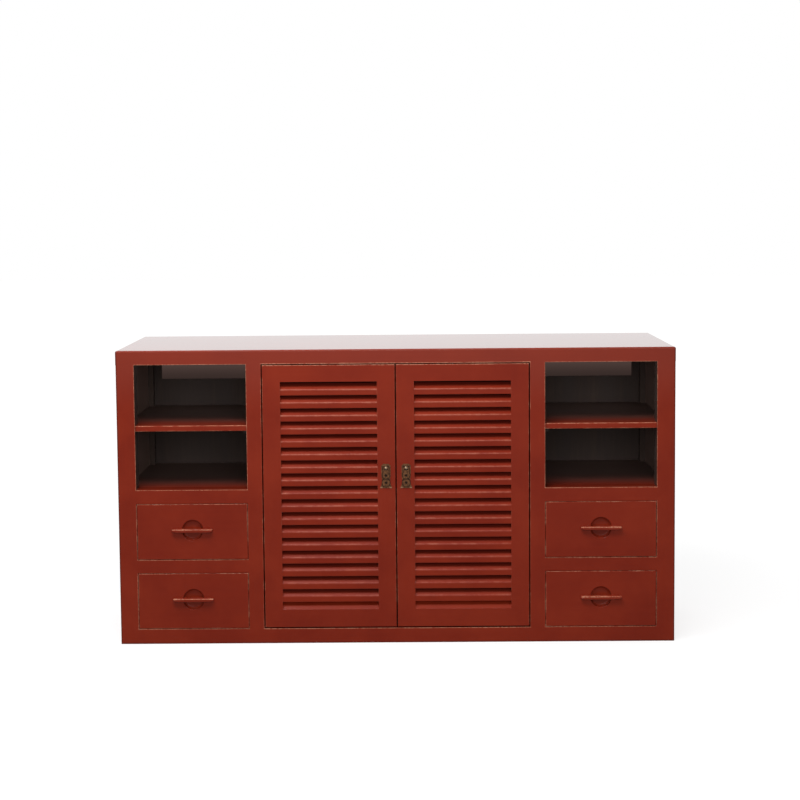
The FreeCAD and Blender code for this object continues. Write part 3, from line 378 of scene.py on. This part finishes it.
def brass(name, dark, light, blackened=None, rubbed=None, metallic=0.4):
    """Antique brass: a dark patina over lighter metal, near black where blackened grows, which on the plate
    is a painted shadow.
    """
    surface = Surface(name)
    patina = surface.noise(surface.point, PATINA, detail=5, roughness=0.65)
    colour = surface.mix(surface.remap(patina, *TARNISHED), dark, light)
    if rubbed is not None:
        colour = surface.mix(rubbed(surface), colour, BRASS_RUBBED)
    if blackened is not None:
        colour = surface.mix(blackened(surface), colour, BRASS_BLACK)
    roughness = surface.remap(patina, *MOST, *BRASS_ROUGHNESS)
    return surface.finish(colour, roughness, patina, bump=0.3, reach=0.2 * MM, metallic=metallic,
                          IOR=BRASS_IOR)


# The distances between which a tone of the brass changes, with its strength at either where that isn't 0
# and 1, and how far the painted shadow under the ball reaches sideways, down and up
HOLE_TONE = (3 * MM, 5 * MM, 0.9, 0)
NECK_TONE = (1 * MM, 3 * MM, 0.81, 0)
PLATE_SHADOW_TONE = (1 * MM, 3.2 * MM, 0.95, 0)
FOOT_TONE = (1.5 * MM, 4.5 * MM, 1, 0)
CORNER_TONE = (8 * MM, 12 * MM)
BALL_SIDEWAYS = 8 * MM
BALL_DOWN = 16 * MM
BALL_UP = 2 * MM


def from_lobe(surface, lobe):
    """Distance on the front to the middle of one lobe of the drops."""
    reach = surface.apart(surface.z, PULL_AXIS - LOBE_DROPS[lobe])
    return surface.hypotenuse(surface.apart(surface.across, PULL_X), reach)


def around_holes(surface):
    """Grows towards the drop's two holes, and at the neck between its lobes."""
    least = surface.nearest([from_lobe(surface, 0), from_lobe(surface, 1)])
    neck = surface.apart(surface.z, PULL_AXIS - sum(LOBE_DROPS) / 2)
    return surface.math("MAXIMUM", surface.remap(least, *HOLE_TONE), surface.remap(neck, *NECK_TONE))


def drop_shadow(surface):
    """Grows on the plate towards the drop that hangs before it, and under the ball: a painted shadow of the
    drop and the ball.
    """
    edges = [surface.math("SUBTRACT", from_lobe(surface, lobe), LOBE_RADII[lobe]) for lobe in (0, 1)]
    beside = surface.beyond(surface.across, PULL_X - BALL_SIDEWAYS, PULL_X + BALL_SIDEWAYS)
    level = surface.beyond(surface.z, PULL_AXIS - BALL_DOWN, PULL_AXIS + BALL_UP)
    edges.append(surface.math("MAXIMUM", beside, level))
    return surface.remap(surface.nearest(edges), *PLATE_SHADOW_TONE)


def foot_corners(surface):
    """The two lower corners of the plate, which are rubbed bright."""
    low = surface.remap(surface.math("SUBTRACT", surface.z, PLATE_FOOT), *FOOT_TONE)
    outer = surface.remap(surface.apart(surface.across, PULL_X), *CORNER_TONE)
    return surface.math("MULTIPLY", low, outer)


# Where each family of pieces is worn and given a painted highlight, more on the arrises that face up. An
# arris counts as nearer if it is worn and lit more, and as farther if less
SILL_MORE = 0.5 * MM
RAIL_MORE = 0.2 * MM
POST_LESS = 0.5 * MM
DOOR_SIDE_LESS = 0.8 * MM
LOUVRE_LESS = 1 * MM
DOOR_INSET = 1 * MM


def opening_wear_and_highlights(surface):
    """The arrises of the openings in the front, but for the rails' lower arrises over the drawers: worn,
    with a painted highlight that is strongest on the sills and rails, which face up.
    """
    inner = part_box("front_inner_posts")[1].x
    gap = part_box("right_lower_drawer_front")[0].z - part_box("front_bottom_rail")[1].z
    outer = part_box("right_lower_drawer_front")[1].x + gap
    across, level = surface.across, surface.z
    distances = [
        surface.to_rectangle(across, level, (inner, NICHE_FOOT), (outer, UNDER_TOP)),
        surface.math("SUBTRACT", surface.to_line(across, level, inner, outer, NICHE_FOOT), SILL_MORE),
    ]
    for name in ("lower", "upper"):
        low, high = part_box(f"right_{name}_drawer_front")
        rail = surface.to_line(across, level, inner, outer, low.z - gap)
        distances.append(surface.math("SUBTRACT", rail, RAIL_MORE))
        inner_post = surface.to_line(level, across, low.z, high.z, inner)
        distances.append(surface.math("ADD", inner_post, POST_LESS))
        distances.append(surface.to_line(level, across, low.z, high.z, outer))
    side = -door_low.x + DOOR_GAP
    foot, head = door_low.z - DOOR_GAP, door_high.z + DOOR_GAP
    distances.append(surface.to_line(surface.x, level, -side, side, foot))
    distances.append(surface.to_line(surface.x, level, -side, side, head))
    upright = surface.to_line(level, across, foot, head, side)
    distances.append(surface.math("ADD", upright, DOOR_SIDE_LESS))
    return surface.at_face(distances)


def drawer_wear_and_highlights(surface):
    """The front arrises of the drawers: worn, with a painted highlight."""
    distances = []
    for level in ("lower", "upper"):
        low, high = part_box(f"right_{level}_drawer_front")
        distances.append(surface.to_rectangle(surface.across, surface.z, *rectangle(low, high)))
    return surface.at_face(distances)


def door_wear_and_highlights(surface):
    """The doors' upper arrises, less of their upright ones, and a little of those round the louvre: worn,
    with a painted highlight strongest where they face up.
    """
    louvre = ((-meet_low.x, slats_low.z), (-door_high.x, slats_high.z + LOUVRE_HEAD))
    low, high = DOOR_OUTLINE
    sides = [surface.to_line(surface.z, surface.across, low[1], high[1], side)
             for side in (low[0] + DOOR_INSET, high[0] - DOOR_INSET)]
    return surface.at_face([
        surface.to_line(surface.across, surface.z, low[0], high[0], high[1] - DOOR_INSET),
        surface.math("ADD", surface.nearest(sides), DOOR_SIDE_LESS),
        surface.math("ADD", surface.to_rectangle(surface.across, surface.z, *louvre), LOUVRE_LESS),
    ])


def nose_wear_and_highlight(surface):
    """The rounded front arrises of the slats: worn, with a painted highlight along each nose."""
    height = surface.math("SUBTRACT", surface.z, SLAT_NOSE - SLAT_PITCH / 2)
    turns = surface.math("DIVIDE", height, SLAT_PITCH)
    level = surface.math("MULTIPLY", surface.apart(surface.math("FRACT", turns), 0.5), SLAT_PITCH)
    return surface.hypotenuse(level, surface.apart(surface.y, slats_low.y))


def worn_edges(*names):
    """All edges of the boxes of some nodes, mirrored to both sides."""
    def distance(surface):
        found = []
        for name in names:
            planes = [surface.math("ABSOLUTE", surface.beyond(value, start, end))
                      for value, start, end in zip((surface.x, surface.y, surface.z), *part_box(name))]
            for first, second in ((0, 1), (1, 2), (0, 2)):
                found.append(surface.hypotenuse(planes[first], planes[second]))
        return surface.nearest(found)
    return distance


# Where each family of pieces takes another tone: a stain inside the frame, darker outer arrises, and
# elsewhere painted shade and painted light. Some names hold the two places between which the tone changes,
# with its strength at either where that isn't 0 and 1
MARGIN = 1 * MM
FRONT_SKIN = 3 * MM
OUTER_SKIN = 9 * MM
ARRIS_TURNS = (0.1 * MM, 0.6 * MM)
DOOR_EDGE_TONE = (6 * MM, 12 * MM, 0.7, 0)
OUTER_DARK_TONE = (1.5 * MM, 6 * MM, 0.6, 0)
OUTER_DARK_DEPTH = 6 * MM
NICHE_TONE = (30 * MM, 240 * MM)
SILL_TONE = (10 * MM, 20 * MM, 0, 0.45)
FLOOR_TONE = (20 * MM, 90 * MM, 0, 0.25)
LOUVRE_SHADE_DEPTHS = (6 * MM, 17 * MM)
RIM_TURNS = 0.4 * MM
RECESS_RIM = 1.5 * MM
LIT_ABOVE = (26 * MM, 8 * MM, 0, 0.5)
LIT_RIM = (24 * MM, 29 * MM)
LIT_BELOW = (-12 * MM, -24 * MM)
BAR_FOOT = (2 * MM, -4 * MM)
RECESS_FOOT = (-29 * MM, -15 * MM, 0, 0.6)
RIDGE_DROP = 2 * MM
RIDGE_DEPTH = 5 * MM


def in_gaps(surface, doors_only=False):
    """1 round the doors and drawers, as deep as their fronts are thick."""
    shallow = surface.math("LESS_THAN", surface.y, FACE + GAP_DEPTH)
    place = surface.math("LESS_THAN", surface.across, -door_low.x + DOOR_GAP + MARGIN)
    if not doors_only:
        below = surface.math("LESS_THAN", surface.z, NICHE_FOOT - MARGIN)
        place = surface.math("MAXIMUM", place, below)
    return surface.math("MULTIPLY", shallow, place)


def inside_of_frame(surface):
    """1 on the faces that look into the cabinet, which are stained."""
    behind = surface.math("GREATER_THAN", surface.y, FACE + FRONT_SKIN)
    before = surface.math("LESS_THAN", surface.y, BACK - OUTER_SKIN)
    within = surface.math("LESS_THAN", surface.across, SIDE - OUTER_SKIN)
    share = surface.math("MULTIPLY", surface.math("MULTIPLY", behind, before), within)
    return surface.math("SUBTRACT", share, in_gaps(surface), clamp=True)


def gap_shade(surface):
    """1 in the gap round the doors, which gets painted shade."""
    past = surface.beyond(surface.z, door_low.z, door_high.z)
    level = surface.math("LESS_THAN", past, DOOR_GAP + MARGIN)
    behind = surface.math("MULTIPLY", surface.by_depth(*ARRIS_TURNS), level)
    return surface.math("MULTIPLY", behind, in_gaps(surface, doors_only=True))


def door_side_shade(surface):
    """Strong on the doors' outer edges right behind the front arris, and fading with depth: painted shade
    in the gap.
    """
    distance = surface.to_rectangle(surface.across, surface.z, *DOOR_OUTLINE)
    edge = surface.math("LESS_THAN", distance, MARGIN)
    near = surface.math("MULTIPLY", surface.by_depth(*ARRIS_TURNS), surface.by_depth(*DOOR_EDGE_TONE))
    return surface.math("MULTIPLY", edge, near)


def outer_arrises(surface):
    """Grows towards the outer sides and the foot of the front, where the lacquer is made darker."""
    far_above = 2 * TOP
    distance = surface.to_rectangle(surface.x, surface.z, (-SIDE, 0), (SIDE, far_above))
    near = surface.remap(distance, *OUTER_DARK_TONE)
    return surface.math("MULTIPLY", near, surface.math("LESS_THAN", surface.y, FACE + OUTER_DARK_DEPTH))


def inside_of_rail(surface):
    """1 on the underside of the top rail, but for its front arris and the gap over the doors."""
    below = surface.math("COMPARE", surface.z, UNDER_TOP, MARGIN)
    return surface.math("MULTIPLY", below, inside_of_frame(surface))


def niche_light_and_shade(surface):
    """Grows from the front of a niche towards its back, where the red gives way to a pale stain: painted
    shade as the red fades, and painted fill light on the dim back.
    """
    return surface.by_depth(*NICHE_TONE)


def sill_shade(surface):
    """Grows behind the front arris of the niches' floors and shelves: painted shade where the light falls
    off.
    """
    return surface.math("ADD", surface.by_depth(*SILL_TONE), surface.by_depth(*FLOOR_TONE))


def rail_sill_shade(surface):
    """The same, on the top of the rails under the niches."""
    level = surface.math("COMPARE", surface.z, NICHE_FOOT, SKIN)
    return surface.math("MULTIPLY", level, sill_shade(surface))


def louvre_shade(surface):
    """Grows towards the depth of the louvre: painted shade under each slat."""
    return surface.by_depth(*LOUVRE_SHADE_DEPTHS)


def recess_offset(surface):
    """Height over the nearest drawer bar, and the distance from the middle of its recess."""
    heights = []
    for level in ("lower", "upper"):
        low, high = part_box(f"right_{level}_drawer_bar")
        heights.append(surface.math("SUBTRACT", surface.z, (low.z + high.z) / 2))
    low_drawer = surface.math("LESS_THAN", surface.z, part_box("right_lower_drawer_front")[1].z)
    height = surface.remap(low_drawer, 0, 1, heights[1], heights[0], smooth=False)
    sideways = surface.apart(surface.across, (low.x + high.x) / 2)
    return height, surface.hypotenuse(height, sideways)


def in_recess(surface):
    """1 inside the finger recesses."""
    radius = recess_offset(surface)[1]
    inside = surface.math("LESS_THAN", radius, RECESS_RADIUS + RECESS_RIM)
    behind = surface.math("GREATER_THAN", surface.y, FACE + RIM_TURNS)
    return surface.math("MULTIPLY", inside, behind)


def recess_light(surface):
    """Grows towards the middle of a recess from above, and over its lower rim: painted light in the scoop.
    """
    height, radius = recess_offset(surface)
    above = surface.math("MULTIPLY", surface.remap(height, *LIT_ABOVE),
                         surface.math("GREATER_THAN", height, 0))
    rim = surface.math("MULTIPLY", surface.remap(radius, *LIT_RIM),
                       surface.remap(height, *LIT_BELOW))
    return surface.math("MULTIPLY", surface.math("MAXIMUM", above, rim), in_recess(surface))


def bar_shadow(surface):
    """Grows below the bar in a recess: the bar's painted shadow."""
    height = recess_offset(surface)[0]
    band = surface.math("MULTIPLY", surface.remap(height, *BAR_FOOT),
                        surface.remap(height, *RECESS_FOOT))
    return surface.math("MULTIPLY", band, in_recess(surface))


def bar_wear_and_highlight(surface):
    """The upper front of each drawer bar: rubbed, with a painted highlight along it."""
    distances = []
    for level in ("lower", "upper"):
        low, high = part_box(f"right_{level}_drawer_bar")
        top = surface.apart(surface.z, high.z - RIDGE_DROP)
        behind = surface.math("SUBTRACT", surface.y, low.y + RIDGE_DEPTH)
        distances.append(surface.hypotenuse(top, surface.math("MAXIMUM", behind, 0)))
    return surface.nearest(distances)


def inner_face(surface):
    """1 on the side panels' faces that look into the niches."""
    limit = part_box("side_panels")[1].x - PANEL_THICKNESS + MARGIN
    return surface.math("LESS_THAN", surface.across, limit)


def dress():
    """Gives each node its material."""
    # painted shade in the door gap, and darker outer arrises
    gap_shade_and_dark_edges = ((gap_shade, GAP_SHADE_RED), (outer_arrises, SHADE_RED))
    # painted shade on top of the rails under the niches
    frame_x = lacquer("lacquer_front_rails", opening_wear_and_highlights, ALONG_X,
                      ((inside_of_rail, STAIN), (rail_sill_shade, SHADE_RED), *gap_shade_and_dark_edges))
    frame_z = lacquer("lacquer_front_posts", opening_wear_and_highlights, ALONG_Z, ((inside_of_frame, STAIN), *gap_shade_and_dark_edges))
    top = lacquer("lacquer_top", None, ALONG_X)
    # the recesses: painted light above the bar and on the lower rim, and the bar's painted shadow below it
    drawer = lacquer("lacquer_drawers", drawer_wear_and_highlights, ALONG_X,
                     ((recess_light, RECESS_LIT_RED), (bar_shadow, SHADE_RED)))
    # painted shade on the doors' edges in the gap
    sides = ((door_side_shade, GAP_SHADE_RED),)
    door_z = lacquer("lacquer_door_stiles", door_wear_and_highlights, ALONG_Z, sides, top_sheen=0)
    door_x = lacquer("lacquer_door_rails", door_wear_and_highlights, ALONG_X, sides, top_sheen=0)
    # the slats: a painted highlight along the noses, and painted shade deeper in the louvre
    slat = lacquer("lacquer_slats", nose_wear_and_highlight, ALONG_X, ((louvre_shade, GAP_SHADE_RED),),
                   width=3.2 * MM, chipped=0.22, coat=0.25, top_sheen=0)
    plain_x = lacquer("lacquer_rails", worn_edges("top_side_rails"), ALONG_X)
    plain_y = lacquer("lacquer_side_rails", worn_edges("top_side_rails"), ALONG_Y)
    # the back posts' inner faces take the lighter stain, painted fill light that evens them with the side
    # walls
    plain_z = lacquer("lacquer_posts", worn_edges("top_side_rails"), ALONG_Z,
                      ((inside_of_frame, STAIN_LIGHT),))
    # the shelves: painted shade behind the front arris, and towards the back a pale stain as painted fill
    # light
    shelf = lacquer("lacquer_shelves", worn_edges("niche_shelves"), ALONG_X,
                    ((sill_shade, SHADE_RED), (niche_light_and_shade, NICHE_FILL_STAIN)), width=2.4 * MM, coat=0.5)
    # the bars: a painted highlight along their upper front, with rubbed spots
    bar = lacquer("lacquer_bars", bar_wear_and_highlight, ALONG_X, width=2.8 * MM, chipped=0.75)
    # the side panels' inner faces take a paler stain, painted fill light on the niches' side walls
    side = lacquer("lacquer_side_panels", None, ALONG_Z, ((inner_face, STAIN_FILL_LIT),))
    stain_x = dark_stain("stain_boards", ALONG_X)
    stain_z = dark_stain("stain_panels", ALONG_Z)
    wood_y = bare_wood("wood_along_depth", ALONG_Y)
    wood_x = bare_wood("wood_across", ALONG_X)
    # the plate is near black behind the drop and under the ball, a painted shadow
    plate = brass("brass_plate", BRASS_DARK, BRASS, drop_shadow, foot_corners)
    drop = brass("brass_drop", BRASS_DARK, BRASS, around_holes)
    pin = brass("brass_pin", BRASS_RUBBED, BRASS_BRIGHT, metallic=0.8)
    fitting = brass("brass_fittings", BRASS_DARK, BRASS)
    materials = {
        "top_front_rail": frame_x, "front_bottom_rail": frame_x, "bay_rails": frame_x,
        "front_posts": frame_z, "front_inner_posts": frame_z,
        "top_back_rail": plain_x, "back_bottom_rail": plain_x, "top_panel": top,
        "top_side_rails": plain_y, "side_bottom_rails": plain_y, "back_posts": plain_z,
        "side_panels": side, "niche_floors": shelf, "niche_shelves": shelf,
        "top_battens": stain_x, "bottom_board": stain_x, "centre_shelf": stain_x, "shelf_cleats": stain_x,
        "partitions": stain_z, "bay_back_panels": stain_z, "centre_back_panel": stain_z,
        "door_catches": stain_x, "drawer_runners": wood_y, "pivot_sockets": fitting,
    }
    door = {
        "door_hinge_stile": door_z, "door_meeting_stile": door_z, "door_rails": door_x, "door_slats": slat,
        "door_pivots": fitting, "pull_plate": plate, "pull_pin": pin, "pull_drop": drop,
    }
    box = {"front": drawer, "bar": bar, "sides": wood_y, "back": wood_x, "bottom": wood_x}
    for hand in ("left", "right"):
        materials.update({f"{hand}_{name}": material for name, material in door.items()})
        for level in ("upper", "lower"):
            materials.update({f"{hand}_{level}_drawer_{name}": material for name, material in box.items()})
    for name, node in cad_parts.items():
        node.data.materials.clear()
        node.data.materials.append(materials[name])


# Floor, backdrop and light
FLOOR_SIZE = 40
FLOOR_GREY = 0.22
FLOOR_GLOW = 0.8
GLOW_RISES = (1, 4.5)
SKY_LIGHT = 0.22
# the cards behind the slots glow dim grey, brighter towards the top: painted shade
CARD_BEHIND = 6 * MM
CARD_MARGIN = 8 * MM
CARD_GLOW = (0.65, 1.7)


def plane(name, centre, size, turn=Matrix.Identity(3)):
    """A flat rectangle that belongs to the stage."""
    half = Vector(size) / 2
    points = [(-half.x, -half.y, 0), (half.x, -half.y, 0), (half.x, half.y, 0), (-half.x, half.y, 0)]
    mesh = bpy.data.meshes.new(name)
    mesh.from_pydata(points, [], [(0, 1, 2, 3)])
    item = bpy.data.objects.new(name, mesh)
    item.matrix_world = Matrix.Translation(centre) @ turn.to_4x4()
    bpy.context.scene.collection.objects.link(item)
    return item


def staged_graph(name, item):
    """A new material on a piece of the stage, and the graph of its nodes."""
    material = bpy.data.materials.new(name)
    material.use_nodes = True
    item.data.materials.append(material)
    return Graph(material.node_tree)


def shown_rays(graph):
    """1 for the rays that show a surface as it is: to the camera, in gloss and through glass."""
    path = graph.node("LightPath")
    shown = graph.math("MAXIMUM", path.outputs["Is Camera Ray"], path.outputs["Is Glossy Ray"])
    return graph.math("MAXIMUM", shown, path.outputs["Is Transmission Ray"])


def shade_card(name, side):
    """A card glows dim grey behind each slot in the back, painting the shaded room behind the cabinet,
    brighter towards its top. From behind, the card isn't there.
    """
    low, high = SLOT
    middle = Vector((side * (low[0] + high[0]) / 2, BACK + CARD_BEHIND, (low[1] + high[1]) / 2))
    size = (high[0] - low[0] + 2 * CARD_MARGIN, high[1] - low[1] + 2 * CARD_MARGIN)
    graph = staged_graph(name, plane(name, middle, size, Matrix.Rotation(math.radians(90), 3, "X")))
    glow = graph.node("Emission")
    glow.inputs["Color"].default_value = CARD_SHADE_COLOUR
    lift = graph.split(graph.node("TexCoord").outputs["Object"])[1]
    strength = graph.remap(lift, -size[1] / 2, size[1] / 2, *CARD_GLOW)
    graph.feed(glow.inputs["Strength"], strength)
    clear = graph.node("BsdfTransparent")
    mixed = graph.node("MixShader")
    facing = graph.math("SUBTRACT", 1, graph.node("NewGeometry").outputs["Backfacing"])
    graph.feed(mixed.inputs["Fac"], facing)
    graph.feed(mixed.inputs[1], clear.outputs[0])
    graph.feed(mixed.inputs[2], glow.outputs[0])
    output = graph.node("OutputMaterial")
    graph.feed(output.inputs["Surface"], mixed.outputs[0])


def make_floor():
    """A pale floor that keeps the object's shadow and turns white further off."""
    graph = staged_graph("floor", plane("floor", (0, 0, 0), (FLOOR_SIZE, FLOOR_SIZE)))
    diffuse = graph.node("BsdfDiffuse")
    diffuse.inputs["Color"].default_value = (FLOOR_GREY, FLOOR_GREY, FLOOR_GREY, 1)
    away = graph.vector("LENGTH", graph.node("TexCoord").outputs["Object"])
    glow = graph.node("Emission")
    shown = graph.math("MULTIPLY", shown_rays(graph), graph.remap(away, *GLOW_RISES, FLOOR_GLOW, 1))
    graph.feed(glow.inputs["Strength"], shown)
    both = graph.node("AddShader")
    graph.feed(both.inputs[0], diffuse.outputs[0])
    graph.feed(both.inputs[1], glow.outputs[0])
    output = graph.node("OutputMaterial")
    graph.feed(output.inputs["Surface"], both.outputs[0])


def make_world():
    """White to the camera and in gloss, and a weak even light on the object."""
    world = bpy.data.worlds.new("world")
    bpy.context.scene.world = world
    world.use_nodes = True
    graph = Graph(world.node_tree)
    background = graph.node("Background")
    background.inputs["Color"].default_value = (1, 1, 1, 1)
    strength = graph.remap(shown_rays(graph), 0, 1, SKY_LIGHT, 1, smooth=False)
    graph.feed(background.inputs["Strength"], strength)
    output = graph.node("OutputWorld")
    graph.feed(output.inputs["Surface"], background.outputs[0])


def lamp(name, place, target, size, power):
    """A soft rectangular lamp that faces its target."""
    data = bpy.data.lights.new(name, "AREA")
    data.shape = "RECTANGLE"
    data.size, data.size_y = size
    data.energy = power
    item = bpy.data.objects.new(name, data)
    item.location = place
    item.rotation_euler = (Vector(target) - Vector(place)).to_track_quat("-Z", "Y").to_euler()
    bpy.context.scene.collection.objects.link(item)


def light():
    """Lamps before, above and behind the object, and one at each side, below the polished top."""
    lamp("key", place=(-0.6, -1.5, 2.8), target=(0, FACE, 0.5), size=(2.2, 0.9), power=80)
    lamp("fill", place=(0.1, -4.2, 1.5), target=(0, 0, 0.5), size=(3.0, 1.4), power=64)
    lamp("rear", place=(0, 2.8, 3.2), target=(0, 0, 0.6), size=(3.0, 1.5), power=60)
    for side in (-1, 1):
        lamp("side", place=(side * 3.4, 0.45, 0.5), target=(0, 0.3, 0.42), size=(1.2, 0.6), power=42)
    bpy.context.scene.view_settings.view_transform = "Standard"


place_camera()
dress()
make_floor()
shade_card("left_shade_card", -1)
shade_card("right_shade_card", 1)
make_world()
light()
